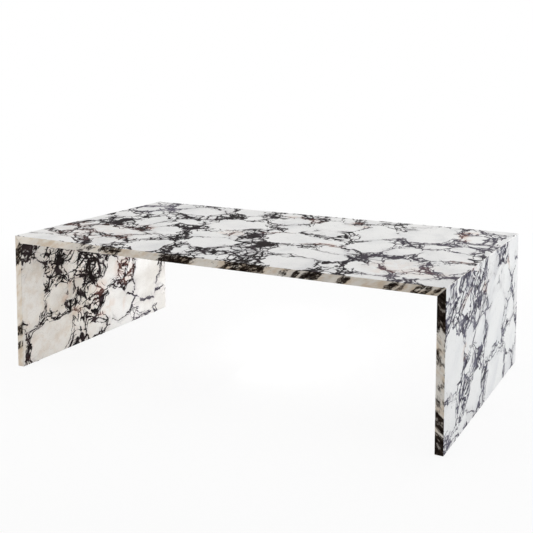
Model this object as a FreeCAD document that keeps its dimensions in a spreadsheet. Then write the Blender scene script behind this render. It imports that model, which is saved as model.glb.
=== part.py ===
"""Marble coffee table: three slabs glued and pinned into a bridge, with mitred corners.

Millimetres. +X runs along the table, +Y from its front to its back, +Z up.
The origin is on the floor under the middle of the top.
"""

import FreeCAD, Part
import math
import os

import Sketcher

doc = FreeCAD.newDocument("marble_coffee_table")

# Driving dimensions
SIZES = {
    "table_length": (1200, "outside, leg face to leg face"),
    "table_depth": (680, "front to back"),
    "table_height": (365, "floor to top face"),
    "slab_thickness": (20, "stone stock of the top and the legs"),
    "arris_ease": (1.5, "chamfer that takes the sharpness off each arris"),
    "glue_line": (0.6, "thickness of the adhesive in a mitre"),
    "dowel_diameter": (4, "pin across a mitre"),
    "dowel_length": (14, "half in each slab"),
    "dowel_count": (6, "pins in one mitre"),
    "dowel_end_distance": (60, "front face to the first pin"),
    "dowel_inset": (3, "from the middle of the mitre towards the inner corner"),
    "dowel_end_gap": (0.5, "hole beyond the end of a pin"),
    "dowel_clearance": (0.1, "round a pin in its hole"),
    "dowel_lead_in": (0.5, "chamfer on the ends of a pin"),
    "rod_diameter": (6, "reinforcing rod"),
    "rod_count": (3, "rods under the top"),
    "rod_edge_distance": (100, "front face to the first rod"),
    "rod_end_distance": (110, "inner leg face to the end of a rod"),
    "rod_bed": (0.5, "resin between a rod and the floor of its slot"),
    "rod_end_gap": (5, "flat floor of the slot beyond the end of a rod"),
    "rod_clearance": (0.05, "round a rod in its resin"),
    "slot_width": (8, "saw cut for a rod"),
    "slot_depth": (9, "saw cut for a rod"),
    "saw_radius": (57.5, "disc that cuts the slot and leaves its curved ends"),
    "pad_diameter": (16, "felt pad"),
    "pad_thickness": (2, "felt pad"),
    "pad_count": (3, "pads under one leg"),
    "pad_end_distance": (60, "front face to the middle of the first pad"),
}

sheet = doc.addObject("Spreadsheet::Sheet", "sizes")
for row, (alias, (value, note)) in enumerate(SIZES.items(), start=1):
    sheet.set(f"A{row}", alias)
    sheet.set(f"B{row}", str(value))
    sheet.set(f"C{row}", note)
    sheet.setAlias(f"B{row}", alias)
doc.recompute()

# Expressions that several pieces share
HALF_LENGTH = "sizes.table_length / 2"
HALF_DEPTH = "sizes.table_depth / 2"
HEIGHT = "sizes.table_height"
UNDERSIDE = "(sizes.table_height - sizes.slab_thickness)"
MITRE_MIDDLE = "(sizes.table_height - sizes.slab_thickness / 2)"
GLUE_STEP = "(sizes.glue_line / sqrt(2))"
SLOT_FLOOR = "(sizes.table_height - sizes.slab_thickness + sizes.slot_depth)"
ROD_LENGTH = "(sizes.table_length - 2 * sizes.slab_thickness - 2 * sizes.rod_end_distance)"
ROD_LEVEL = f"({SLOT_FLOOR} - sizes.rod_bed - sizes.rod_diameter / 2)"
SLOT_FLAT = f"({ROD_LENGTH} / 2 + sizes.rod_end_gap)"
SLOT_RUN_OUT = "sqrt(sizes.slot_depth * (2 * sizes.saw_radius - sizes.slot_depth))"

TOUCH = 0.001  # how near two coordinates are to count as one place


def size(expression):
    """The present value of an expression over the sheet, in millimetres."""
    return float(sheet.evalExpression(expression))


def new_body(label):
    body = doc.addObject("PartDesign::Body", label)
    body.Label = label
    return body


def origin_feature(body, role):
    return next(f for f in body.Origin.OriginFeatures if f.Role == role)


def new_sketch(body, plane, name):
    sketch = body.newObject("Sketcher::SketchObject", name)
    sketch.AttachmentSupport = [(origin_feature(body, plane), "")]
    sketch.MapMode = "FlatFace"
    return sketch


def tie(sketch, kind, edge, end, expression):
    """Ties one end of an edge to an expression, measured from the sketch's origin."""
    index = sketch.addConstraint(Sketcher.Constraint(kind, -1, 1, edge, end, size(expression)))
    sketch.setExpression(f"Constraints[{index}]", expression)


def tie_point(sketch, edge, end, across, up):
    tie(sketch, "DistanceX", edge, end, across)
    tie(sketch, "DistanceY", edge, end, up)


def polygon(sketch, corners):
    """A closed outline through corners, each a pair of expressions."""
    places = [FreeCAD.Vector(size(across), size(up), 0) for across, up in corners]
    ends = places[1:] + places[:1]
    edges = [sketch.addGeometry(Part.LineSegment(a, b)) for a, b in zip(places, ends)]
    for edge, following in zip(edges, edges[1:] + edges[:1]):
        sketch.addConstraint(Sketcher.Constraint("Coincident", edge, 2, following, 1))
    for edge, (across, up) in zip(edges, corners):
        tie_point(sketch, edge, 1, across, up)


def circle(sketch, across, up, diameter):
    """A circle whose centre and diameter are expressions."""
    centre = FreeCAD.Vector(size(across), size(up), 0)
    ring = sketch.addGeometry(Part.Circle(centre, FreeCAD.Vector(0, 0, 1), size(diameter) / 2))
    tie_point(sketch, ring, 3, across, up)
    index = sketch.addConstraint(Sketcher.Constraint("Diameter", ring, size(diameter)))
    sketch.setExpression(f"Constraints[{index}]", diameter)


def pad(body, sketch, length, symmetric=True):
    feature = body.newObject("PartDesign::Pad", f"{sketch.Name}_pad")
    feature.Profile = sketch
    feature.SideType = "Symmetric" if symmetric else "One side"
    feature.setExpression("Length", length)
    return feature


def pocket(body, sketch, length, symmetric=False, reverse=False):
    """Cuts the sketch away, and stops if the cut took nothing off the piece."""
    doc.recompute()
    before = body.Shape.Volume
    feature = body.newObject("PartDesign::Pocket", f"{sketch.Name}_cut")
    feature.Profile = sketch
    feature.SideType = "Symmetric" if symmetric else "One side"
    feature.Reversed = reverse
    feature.setExpression("Length", length)
    doc.recompute()
    if not body.Shape.Volume < before:
        raise RuntimeError(f"{feature.Name} cut nothing")
    return feature


def row_in_depth(body, feature, count, end_distance):
    """Repeats a feature from front to back, as far from the back face as it is from the front."""
    row = body.newObject("PartDesign::LinearPattern", f"{feature.Name}_row")
    row.Originals = [feature]
    row.Direction = (origin_feature(body, "Y_Axis"), [""])
    row.Mode = "Extent"
    row.setExpression("Length", f"sizes.table_depth - 2 * {end_distance}")
    row.setExpression("Occurrences", count)
    body.Tip = row
    return row


def chamfer(body, base, wanted, width):
    """Chamfers the edges of base that wanted() picks by the places of their ends."""
    doc.recompute()
    names = [
        f"Edge{number}"
        for number, edge in enumerate(base.Shape.Edges, start=1)
        if wanted([vertex.Point for vertex in edge.Vertexes])
    ]
    feature = body.newObject("PartDesign::Chamfer", f"{base.Name}_chamfer")
    feature.Base = (base, names)
    feature.setExpression("Size", width)
    return feature


def tilt_to_mitre(sketch, across, angle):
    """Lays a sketch of the YZ plane in the middle of a mitre, across from the body's own YZ plane."""
    lean = FreeCAD.Rotation(FreeCAD.Vector(1, 0, 0), angle)
    sketch.AttachmentOffset = FreeCAD.Placement(FreeCAD.Vector(), lean)
    sketch.setExpression("AttachmentOffset.Base.y", MITRE_MIDDLE)
    sketch.setExpression("AttachmentOffset.Base.z", across)


FIRST_DOWEL = f"sizes.dowel_end_distance - {HALF_DEPTH}"
FIRST_ROD = f"sizes.rod_edge_distance - {HALF_DEPTH}"
FIRST_PAD = f"sizes.pad_end_distance - {HALF_DEPTH}"
DOWEL_HOLE = "(sizes.dowel_diameter + 2 * sizes.dowel_clearance)"
DOWEL_HOLE_DEPTH = "(sizes.dowel_length / 2 + sizes.dowel_end_gap)"

# The turn that lays a YZ sketch in each mitre, with its normal pointing down into the leg
RIGHT_MITRE = 45
LEFT_MITRE = 135


def level_in(axis, points):
    """Whether all the points have one coordinate along an axis."""
    places = [getattr(p, axis) for p in points]
    return max(places) - min(places) < TOUCH


def on_front_or_back(points):
    return level_in("y", points) and abs(abs(points[0].y) - size(HALF_DEPTH)) < TOUCH


def top_slab():
    """The top: a slab whose ends are mitred under 45 degrees and whose outer corners are eased."""
    body = new_body("top_slab")
    tip_out = f"({HALF_LENGTH} - sizes.arris_ease / 2 - {GLUE_STEP} / 2)"
    tip_up = f"({HEIGHT} - sizes.arris_ease / 2 + {GLUE_STEP} / 2)"
    heel = f"({HALF_LENGTH} - sizes.slab_thickness - {GLUE_STEP})"
    right = [(heel, UNDERSIDE), (tip_out, tip_up), (f"({HALF_LENGTH} - sizes.arris_ease)", HEIGHT)]
    left = [(f"-{across}", up) for across, up in reversed(right)]
    outline = new_sketch(body, "XZ_Plane", "top_outline")
    polygon(outline, right + left)
    slab = pad(body, outline, "sizes.table_depth")

    def long_arris(points):
        return level_in("z", points) and on_front_or_back(points)

    chamfer(body, slab, long_arris, "sizes.arris_ease")

    for side, sign, angle in (("right", "", RIGHT_MITRE), ("left", "-", LEFT_MITRE)):
        hole = new_sketch(body, "YZ_Plane", f"{side}_dowel_hole")
        tilt_to_mitre(hole, f"{sign}({HALF_LENGTH} - sizes.slab_thickness / 2)", angle)
        inset = "-sizes.dowel_inset" if side == "right" else "sizes.dowel_inset"
        circle(hole, FIRST_DOWEL, inset, DOWEL_HOLE)
        drilled = pocket(body, hole, DOWEL_HOLE_DEPTH)
        row_in_depth(body, drilled, "sizes.dowel_count", "sizes.dowel_end_distance")

    slot = new_sketch(body, "XZ_Plane", "rod_slot")
    slot_profile(slot)
    slot.setExpression("AttachmentOffset.Base.z", f"-({FIRST_ROD})")
    sawn = pocket(body, slot, "sizes.slot_width", symmetric=True)
    row_in_depth(body, sawn, "sizes.rod_count", "sizes.rod_edge_distance")
    return body


def slot_profile(sketch):
    """Side view of a sawn slot: a flat floor that rises out of the underside in the disc's arc at each end."""
    flat, run_out = size(SLOT_FLAT), size(SLOT_RUN_OUT)
    floor, underside, radius = size(SLOT_FLOOR), size(UNDERSIDE), size("sizes.saw_radius")
    swing = math.asin(run_out / radius)
    overhead = math.pi / 2

    def disc_arc(across, start, stop):
        disc = Part.Circle(FreeCAD.Vector(across, floor - radius, 0), FreeCAD.Vector(0, 0, 1), radius)
        return sketch.addGeometry(Part.ArcOfCircle(disc, start, stop))

    def line(start, stop):
        return sketch.addGeometry(Part.LineSegment(FreeCAD.Vector(*start, 0), FreeCAD.Vector(*stop, 0)))

    right = disc_arc(flat, overhead - swing, overhead)
    base = line((flat, floor), (-flat, floor))
    left = disc_arc(-flat, overhead, overhead + swing)
    mouth = line((-flat - run_out, underside), (flat + run_out, underside))
    ring = [right, base, left, mouth]
    for edge, following in zip(ring, ring[1:] + ring[:1]):
        sketch.addConstraint(Sketcher.Constraint("Coincident", edge, 2, following, 1))
    for disc, across in ((right, SLOT_FLAT), (left, f"-{SLOT_FLAT}")):
        tie_point(sketch, disc, 3, across, f"({SLOT_FLOOR} - sizes.saw_radius)")
        index = sketch.addConstraint(Sketcher.Constraint("Radius", disc, radius))
        sketch.setExpression(f"Constraints[{index}]", "sizes.saw_radius")
    tie(sketch, "DistanceX", base, 1, SLOT_FLAT)
    tie(sketch, "DistanceX", base, 2, f"-{SLOT_FLAT}")
    tie(sketch, "DistanceY", mouth, 1, UNDERSIDE)
    tie(sketch, "DistanceY", mouth, 2, UNDERSIDE)


def leg_slab(label):
    """A leg panel in its own frame: outer face at X 0, stone towards -X, mitred along its top."""
    body = new_body(label)
    tip_out = f"(-sizes.arris_ease / 2 + {GLUE_STEP} / 2)"
    tip_up = f"({HEIGHT} - sizes.arris_ease / 2 - {GLUE_STEP} / 2)"
    outline = new_sketch(body, "XZ_Plane", f"{label}_outline")
    foot_out, foot_in = ("0", "sizes.pad_thickness"), ("-sizes.slab_thickness", "sizes.pad_thickness")
    shoulder = ("0", f"({HEIGHT} - sizes.arris_ease)")
    heel = ("-sizes.slab_thickness", f"({UNDERSIDE} - {GLUE_STEP})")
    polygon(outline, [foot_in, foot_out, shoulder, (tip_out, tip_up), heel])
    slab = pad(body, outline, "sizes.table_depth")
    foot = size("sizes.pad_thickness")

    def foot_or_upright_arris(points):
        on_foot = level_in("z", points) and abs(points[0].z - foot) < TOUCH
        return on_foot or (level_in("x", points) and on_front_or_back(points))

    chamfer(body, slab, foot_or_upright_arris, "sizes.arris_ease")
    hole = new_sketch(body, "YZ_Plane", f"{label}_dowel_hole")
    tilt_to_mitre(hole, "-sizes.slab_thickness / 2", RIGHT_MITRE)
    circle(hole, FIRST_DOWEL, "-sizes.dowel_inset", DOWEL_HOLE)
    drilled = pocket(body, hole, DOWEL_HOLE_DEPTH, reverse=True)
    row_in_depth(body, drilled, "sizes.dowel_count", "sizes.dowel_end_distance")
    return body


def mitre_epoxy(label):
    """The adhesive in a mitre, in the leg's frame: a thin sheet, pierced for the dowels, with its corners eased."""
    body = new_body(label)
    outer = "((sizes.slab_thickness - sizes.arris_ease) / sqrt(2))"
    inner = "(-sizes.slab_thickness / sqrt(2))"
    ease_out, ease_in = "(sizes.arris_ease / sqrt(2))", "(sizes.arris_ease * sqrt(2))"
    back = [
        (f"({HALF_DEPTH} - sizes.arris_ease)", inner),
        (HALF_DEPTH, f"({inner} + {ease_in})"),
        (HALF_DEPTH, f"({outer} - {ease_out})"),
        (f"({HALF_DEPTH} - sizes.arris_ease / 2)", outer),
    ]
    front = [(f"-({across})", up) for across, up in reversed(back)]
    sheet_outline = new_sketch(body, "YZ_Plane", f"{label}_outline")
    tilt_to_mitre(sheet_outline, "-sizes.slab_thickness / 2", RIGHT_MITRE)
    polygon(sheet_outline, back + front)
    pad(body, sheet_outline, "sizes.glue_line")
    hole = new_sketch(body, "YZ_Plane", f"{label}_dowel_hole")
    tilt_to_mitre(hole, "-sizes.slab_thickness / 2", RIGHT_MITRE)
    circle(hole, FIRST_DOWEL, "-sizes.dowel_inset", DOWEL_HOLE)
    pierced = pocket(body, hole, "2 * sizes.glue_line", symmetric=True)
    row_in_depth(body, pierced, "sizes.dowel_count", "sizes.dowel_end_distance")
    return body


def mitre_dowels(label):
    """The pins across a mitre, in the leg's frame."""
    body = new_body(label)
    section = new_sketch(body, "YZ_Plane", f"{label}_section")
    tilt_to_mitre(section, "-sizes.slab_thickness / 2", RIGHT_MITRE)
    circle(section, FIRST_DOWEL, "-sizes.dowel_inset", "sizes.dowel_diameter")
    pin = pad(body, section, "sizes.dowel_length")
    lead_in = chamfer(body, pin, lambda points: len(points) == 1, "sizes.dowel_lead_in")
    repeat_solid(body, [pin, lead_in], "sizes.dowel_count", "sizes.dowel_end_distance")
    return body


def repeat_solid(body, features, count, end_distance):
    """Repeats a whole piece, with what was done to it, from front to back."""
    row = row_in_depth(body, features[0], count, end_distance)
    row.Originals = features
    return row


def underside_rods():
    """Reinforcing rods along the underside of the top."""
    body = new_body("underside_rods")
    section = new_sketch(body, "YZ_Plane", "rod_section")
    circle(section, FIRST_ROD, ROD_LEVEL, "sizes.rod_diameter")
    rod = pad(body, section, ROD_LENGTH)
    row_in_depth(body, rod, "sizes.rod_count", "sizes.rod_edge_distance")
    return body


def rod_slot_resin():
    """The resin round each rod, flush with the underside of the top."""
    body = new_body("rod_slot_resin")
    fill = new_sketch(body, "XZ_Plane", "resin_outline")
    slot_profile(fill)
    fill.setExpression("AttachmentOffset.Base.z", f"-({FIRST_ROD})")
    filled = pad(body, fill, "sizes.slot_width")
    bore = new_sketch(body, "YZ_Plane", "rod_bore")
    circle(bore, FIRST_ROD, ROD_LEVEL, "sizes.rod_diameter + 2 * sizes.rod_clearance")
    bored = pocket(body, bore, ROD_LENGTH, symmetric=True)
    repeat_solid(body, [filled, bored], "sizes.rod_count", "sizes.rod_edge_distance")
    return body


def leg_pads(label):
    """Felt pads under a leg, in the leg's frame."""
    body = new_body(label)
    disc = new_sketch(body, "XY_Plane", f"{label}_disc")
    circle(disc, "-sizes.slab_thickness / 2", FIRST_PAD, "sizes.pad_diameter")
    felt = pad(body, disc, "sizes.pad_thickness", symmetric=False)
    row_in_depth(body, felt, "sizes.pad_count", "sizes.pad_end_distance")
    return body


def stand_at_end(body, side):
    """Moves a piece from the leg's frame to its end of the table: the left end is the right end turned round."""
    half_turn = FreeCAD.Rotation(FreeCAD.Vector(0, 0, 1), 180 if side == "left" else 0)
    body.Placement = FreeCAD.Placement(FreeCAD.Vector(), half_turn)
    body.setExpression("Placement.Base.x", f"{'-' if side == 'left' else ''}{HALF_LENGTH}")
    return body


pieces = [top_slab(), underside_rods(), rod_slot_resin()]
for side in ("left", "right"):
    for make, name in (
        (leg_slab, "leg_slab"), (mitre_epoxy, "mitre_epoxy"), (mitre_dowels, "mitre_dowels"), (leg_pads, "leg_pads")
    ):
        pieces.append(stand_at_end(make(f"{side}_{name}"), side))
doc.recompute()

for item in doc.Objects:
    if {"Invalid", "Error"} & set(item.State):
        raise RuntimeError(f"{item.Name} failed: {item.State}")
for piece in pieces:
    if piece.Shape.isNull() or not piece.Shape.isValid():
        raise RuntimeError(f"{piece.Label} has no valid shape")

os.makedirs("parts", exist_ok=True)
for piece in pieces:
    piece.Shape.exportStep(f"parts/{piece.Label}.step")
    print(piece.Label, len(piece.Shape.Solids), "solids", round(piece.Shape.Volume / 1000, 2), "cm3")
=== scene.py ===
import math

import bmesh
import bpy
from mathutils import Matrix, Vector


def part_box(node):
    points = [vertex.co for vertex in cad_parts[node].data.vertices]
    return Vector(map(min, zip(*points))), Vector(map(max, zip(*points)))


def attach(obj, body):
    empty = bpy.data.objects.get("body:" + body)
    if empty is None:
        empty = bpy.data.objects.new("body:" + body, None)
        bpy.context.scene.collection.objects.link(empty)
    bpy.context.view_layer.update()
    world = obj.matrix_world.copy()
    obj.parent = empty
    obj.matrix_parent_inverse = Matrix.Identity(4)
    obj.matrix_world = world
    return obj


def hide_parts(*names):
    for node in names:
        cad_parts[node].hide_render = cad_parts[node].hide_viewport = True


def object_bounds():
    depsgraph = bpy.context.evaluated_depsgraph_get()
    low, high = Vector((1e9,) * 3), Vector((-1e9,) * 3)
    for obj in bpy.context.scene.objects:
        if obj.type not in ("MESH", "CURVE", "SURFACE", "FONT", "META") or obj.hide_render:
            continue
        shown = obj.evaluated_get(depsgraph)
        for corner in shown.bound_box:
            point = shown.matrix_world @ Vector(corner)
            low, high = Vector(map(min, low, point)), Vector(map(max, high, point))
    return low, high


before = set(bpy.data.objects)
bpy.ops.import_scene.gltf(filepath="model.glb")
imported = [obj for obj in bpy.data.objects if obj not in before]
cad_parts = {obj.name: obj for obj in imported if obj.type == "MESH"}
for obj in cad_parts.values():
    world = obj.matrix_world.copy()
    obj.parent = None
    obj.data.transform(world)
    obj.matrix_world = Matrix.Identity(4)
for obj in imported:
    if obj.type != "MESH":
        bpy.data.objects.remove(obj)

# %% [markdown]
# A coffee table made of three marble slabs
#
# The real table is a bridge: a long top that turns down at both ends into full-depth leg panels.
# All three slabs are cut from one block of white breccia, a stone of pale broken lumps held together by
# dark violet veins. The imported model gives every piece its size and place, and this lesson dresses it:
# it shapes the three slabs with softened edges, lays out the stone pattern lump by lump, gives the hidden
# steel, resin and felt their finishes, and sets up a pale studio.

MM = 0.001
scene = bpy.context.scene
cad_box = [list(corner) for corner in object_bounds()]
low, high = (Vector(corner) for corner in cad_box)
half_length = (high.x - low.x) / 2
half_depth = (high.y - low.y) / 2
table_height = high.z
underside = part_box("top_slab")[0].z
slab_thickness = table_height - underside
pad_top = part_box("right_leg_slab")[0].z
print("table", [round(side / MM) for side in (2 * half_length, 2 * half_depth, table_height)], "mm")
print("slabs", round(slab_thickness / MM, 1), "mm thick, on pads", round(pad_top / MM, 1), "mm high")

# %% [markdown]
# Shaping a slab
#
# A mason saws each slab to a rectangle, saws the long mitres at 45 degrees and then draws a pad of abrasive
# along every edge, because a knife-sharp arris of marble chips at the first knock. The same order works
# here: a cube at the slab's size and place is bisected along its mitres, and a bevel rounds its edges.
# The faces are far larger than the bevels, so weighted normals keep them flat in the light.

# %% Helpers for a piece that is shaped in edit mode
TOUCHING = 0.01 * MM


def start_block(name, lowest, highest):
    """A cube stretched between two corners, with its place in its mesh, ready for edit mode."""
    middle = (Vector(lowest) + Vector(highest)) / 2
    bpy.ops.mesh.primitive_cube_add(size=1, location=middle, scale=Vector(highest) - Vector(lowest))
    block = bpy.context.object
    block.name = name
    block.data.name = name
    bpy.ops.object.transform_apply(location=True, rotation=True, scale=True)
    return block


def select_edges(block, wanted):
    """Selects, in edit mode, the edges that the test picks out, and says how many there are."""
    mesh = bmesh.from_edit_mesh(block.data)
    bpy.ops.mesh.select_mode(type="EDGE")
    bpy.ops.mesh.select_all(action="DESELECT")
    chosen = [edge for edge in mesh.edges if wanted(edge)]
    for edge in chosen:
        edge.select = True
    mesh.select_flush_mode()
    bmesh.update_edit_mesh(block.data)
    return len(chosen)


def saw(point, outward):
    """Cuts the whole block along a plane, closes the cut and drops what lies outward of it."""
    bpy.ops.mesh.select_all(action="SELECT")
    bpy.ops.mesh.bisect(plane_co=point, plane_no=outward, use_fill=True, clear_outer=True)


def on_plane(edge, point, outward):
    """True where both ends of the edge lie on the plane."""
    return all(abs((corner.co - point).dot(outward)) < TOUCHING for corner in edge.verts)


# %% Easing the edges and finishing a piece
ARRIS_RADIUS = 1.5 * MM
MITRE_EASE = 0.7 * MM
ROUND_STEPS = 4
EASE_STEPS = 2
SMOOTH_ANGLE = math.radians(50)


def ease_edges(block, mitres):
    """Rounds the long arrises first and then, more lightly, the edges of the mitre faces."""
    def in_a_mitre(edge):
        return any(on_plane(edge, point, outward) for point, outward in mitres)

    arrises = select_edges(block, lambda edge: not in_a_mitre(edge))
    bpy.ops.mesh.bevel(offset=ARRIS_RADIUS, segments=ROUND_STEPS, affect="EDGES", clamp_overlap=True)
    joints = select_edges(block, in_a_mitre)
    bpy.ops.mesh.bevel(offset=MITRE_EASE, segments=EASE_STEPS, affect="EDGES", clamp_overlap=True)
    print(block.name, "has", arrises, "arrises and", joints, "mitre edges eased")


def mitred_slab(name, lowest, highest, mitres):
    """A slab between two corners, sawn along its mitres and eased on every edge."""
    slab = start_block(name, lowest, highest)
    bpy.ops.object.mode_set(mode="EDIT")
    for point, outward in mitres:
        saw(point, outward)
    ease_edges(slab, mitres)
    bpy.ops.object.mode_set(mode="OBJECT")
    return slab


def finish_piece(block, node):
    """Smooths the rounded edges, keeps the flats flat and hands the piece to the frame."""
    bpy.ops.object.shade_smooth_by_angle(angle=SMOOTH_ANGLE)
    flatten = block.modifiers.new("flat_faces", "WEIGHTED_NORMAL")
    flatten.keep_sharp = True
    bpy.ops.object.modifier_apply(modifier=flatten.name)
    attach(block, "root")
    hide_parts(node)
    print(block.name, "has", len(block.data.polygons), "faces and stands for", node)
    return block


# %% [markdown]
# The top
#
# The top is the longest slab, mitred at both short ends. Its mitre planes run from the outer corner of the
# table down to the inner corner under the top, and stop half a glue line short of the true diagonal.
# The masons let steel rods into its underside, so the slots of the rods are cut too. A copy of the resin
# that fills them makes the cutter, and so the resin fits its slots exactly.

# %% The top slab
GLUE_LINE = 0.6 * MM
DIAGONAL = math.sqrt(0.5)


def mitre_plane(side, toward_leg):
    """A point and an outward normal of the mitre at the left (-1) or right (1) end."""
    facing = Vector((side, 0, -1)) * DIAGONAL * (1 if toward_leg else -1)
    corner = Vector((side * half_length, 0, table_height))
    return corner - facing * GLUE_LINE / 2, facing


top = mitred_slab(
    "honed_top",
    (-half_length, -half_depth, underside),
    (half_length, half_depth, table_height),
    [mitre_plane(side, toward_leg=True) for side in (-1, 1)],
)

# %% The rod slots in its underside
WELD = 0.001 * MM


def pick_only(piece):
    """Selects one object alone and makes it the active one."""
    bpy.ops.object.select_all(action="DESELECT")
    piece.select_set(True)
    bpy.context.view_layer.objects.active = piece


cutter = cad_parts["rod_slot_resin"].copy()
cutter.data = cutter.data.copy()
cutter.parent = None
scene.collection.objects.link(cutter)
pick_only(cutter)
bpy.ops.object.mode_set(mode="EDIT")
bpy.ops.mesh.select_all(action="SELECT")
bpy.ops.mesh.remove_doubles(threshold=WELD)
bpy.ops.object.mode_set(mode="OBJECT")
pick_only(top)
slots = top.modifiers.new("rod_slots", "BOOLEAN")
slots.operation = "DIFFERENCE"
slots.solver = "EXACT"
slots.object = cutter
bpy.ops.object.modifier_apply(modifier=slots.name)
bpy.data.objects.remove(cutter)
finish_piece(top, "top_slab")

# %% [markdown]
# The legs
#
# Each leg is a panel as deep as the top, mitred along its upper end and standing on felt pads.
# Left and right are mirror images, so one function makes both from a sign.

# %% The leg slabs
def leg_slab(name, side, node):
    """A leg panel at the left (-1) or right (1) end of the table."""
    outer = side * half_length
    inner = outer - side * slab_thickness
    leg = mitred_slab(
        name,
        (min(inner, outer), -half_depth, pad_top),
        (max(inner, outer), half_depth, table_height),
        [mitre_plane(side, toward_leg=False)],
    )
    return finish_piece(leg, node)


left_leg = leg_slab("honed_left_leg", -1, "left_leg_slab")
right_leg = leg_slab("honed_right_leg", 1, "right_leg_slab")

# %% [markdown]
# Wiring a stone
#
# A breccia is a crowd of pale broken lumps, called clasts, with veins and splinters between them. No
# ready-made texture puts a lump where a real slab has one, so the pattern is laid out one by one: every
# clast is an ellipse with a place, a length, a width and a turn. For each point of the stone the nodes work
# out how far away the nearest clast is and how far the next one. Where the two are equal, two clasts touch
# and a vein runs. The small functions below keep the wiring readable.

# %% Helpers that wire shader nodes
def wire(tree, source, socket):
    """Links an output to a socket, or sets the socket where the source is a plain value."""
    if isinstance(source, bpy.types.NodeSocket):
        tree.links.new(source, socket)
    else:
        socket.default_value = source


def maths(tree, operation, *values):
    """A Math node with its inputs wired, as one output."""
    node = tree.nodes.new("ShaderNodeMath")
    node.operation = operation
    for value, socket in zip(values, node.inputs):
        wire(tree, value, socket)
    return node.outputs[0]


def times(tree, first, second):
    """The product of two values."""
    return maths(tree, "MULTIPLY", first, second)


def scaled(tree, value, factor, offset):
    """A value times a factor, plus an offset."""
    return maths(tree, "MULTIPLY_ADD", value, factor, offset)


def vectors(tree, operation, *values):
    """A Vector Math node with its inputs wired, as one output."""
    node = tree.nodes.new("ShaderNodeVectorMath")
    node.operation = operation
    for value, socket in zip(values, node.inputs):
        wire(tree, value, socket)
    return node.outputs["Value" if operation == "LENGTH" else "Vector"]


def step(tree, value, start, end):
    """A soft step from 0 at the start to 1 at the end, which may be the lower of the two."""
    node = tree.nodes.new("ShaderNodeMapRange")
    node.interpolation_type = "SMOOTHSTEP"
    wire(tree, value, node.inputs["Value"])
    wire(tree, start, node.inputs["From Min"])
    wire(tree, end, node.inputs["From Max"])
    return node.outputs["Result"]


# %% Helpers for noise, cracks and colours
MIX_SHARE = 0
MIX_FIRST = 6
MIX_SECOND = 7
MIX_RESULT = 2
FEATHER = 0.45


def cloud(tree, place, scale, detail=3.0, roughness=0.5, output="Fac"):
    """A Noise texture; its scale counts the lumps in a metre."""
    node = tree.nodes.new("ShaderNodeTexNoise")
    wire(tree, place, node.inputs["Vector"])
    wire(tree, scale, node.inputs["Scale"])
    node.inputs["Detail"].default_value = detail
    node.inputs["Roughness"].default_value = roughness
    return node.outputs[output]


def lump_mask(tree, place, scale, start, end, detail=3.0, roughness=0.5):
    """Soft-edged lumps: a Noise texture, stepped between two of its levels."""
    return step(tree, cloud(tree, place, scale, detail, roughness), start, end)


def cracks(tree, place, scale):
    """Distance to the nearest crack of a Voronoi network, in cells; its scale is cells in a metre."""
    node = tree.nodes.new("ShaderNodeTexVoronoi")
    node.feature = "DISTANCE_TO_EDGE"
    wire(tree, place, node.inputs["Vector"])
    node.inputs["Scale"].default_value = scale
    return node.outputs["Distance"]


def line_mask(tree, distance, half_width, soft):
    """1 on a line and 0 off it, with feathered edges."""
    wide = scaled(tree, half_width, 1 + FEATHER, soft)
    tight = scaled(tree, half_width, 1 - FEATHER, -soft)
    return step(tree, distance, wide, tight)


def blend(tree, share, first, second, way="MIX"):
    """The first colour, with the second laid over it or multiplied into it by its share."""
    node = tree.nodes.new("ShaderNodeMix")
    node.data_type = "RGBA"
    node.blend_type = way
    wire(tree, share, node.inputs[MIX_SHARE])
    wire(tree, first, node.inputs[MIX_FIRST])
    wire(tree, second, node.inputs[MIX_SECOND])
    return node.outputs[MIX_RESULT]


# %% Helpers for node groups and materials
VALUE = "NodeSocketFloat"
VECTOR = "NodeSocketVector"
COLOUR = "NodeSocketColor"


def new_group(name, given, results):
    """An empty node group with named sockets, and its own inputs and outputs."""
    group = bpy.data.node_groups.new(name, "ShaderNodeTree")
    for label, kind in given.items():
        group.interface.new_socket(label, in_out="INPUT", socket_type=kind)
    for label, kind in results.items():
        group.interface.new_socket(label, in_out="OUTPUT", socket_type=kind)
    entry = group.nodes.new("NodeGroupInput")
    way_out = group.nodes.new("NodeGroupOutput")
    print("group", name, "gives", ", ".join(results))
    return group, entry.outputs, way_out.inputs


def place_group(tree, group, **values):
    """Puts a group in a node tree, with its inputs set or linked, and gives its outputs."""
    node = tree.nodes.new("ShaderNodeGroup")
    node.node_tree = group
    for label, value in values.items():
        wire(tree, value, node.inputs[label])
    return node.outputs


def new_material(name):
    """A material with its node tree, its shader and the place of each point on the object."""
    material = bpy.data.materials.new(name)
    material.use_nodes = True
    tree = material.node_tree
    coordinates = tree.nodes.new("ShaderNodeTexCoord").outputs
    return material, tree, tree.nodes["Principled BSDF"].inputs, coordinates


def relief(tree, height, depth, normal):
    """A Bump node that lifts the surface by up to the depth."""
    bump = tree.nodes.new("ShaderNodeBump")
    bump.inputs["Distance"].default_value = depth
    wire(tree, height, bump.inputs["Height"])
    wire(tree, bump.outputs[0], normal)


# %% [markdown]
# Clasts and patches
#
# A spherical Gradient falls off evenly from the middle of an ellipse to its rim, and its own mapping
# places, turns and stretches that ellipse. There is one such node for each clast, four times as large as
# the clast so that it also measures the stone around it. A running minimum over all of them gives the
# nearest and the next clast. Softer ellipses of the same kind mark where the stone is more broken, paler
# or rusty, and where a cream-to-tan shade is painted on.

# %% Groups that hold a slab's own layout
SIGHT = 4.0
PATCH_RIM = 0.6


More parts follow.
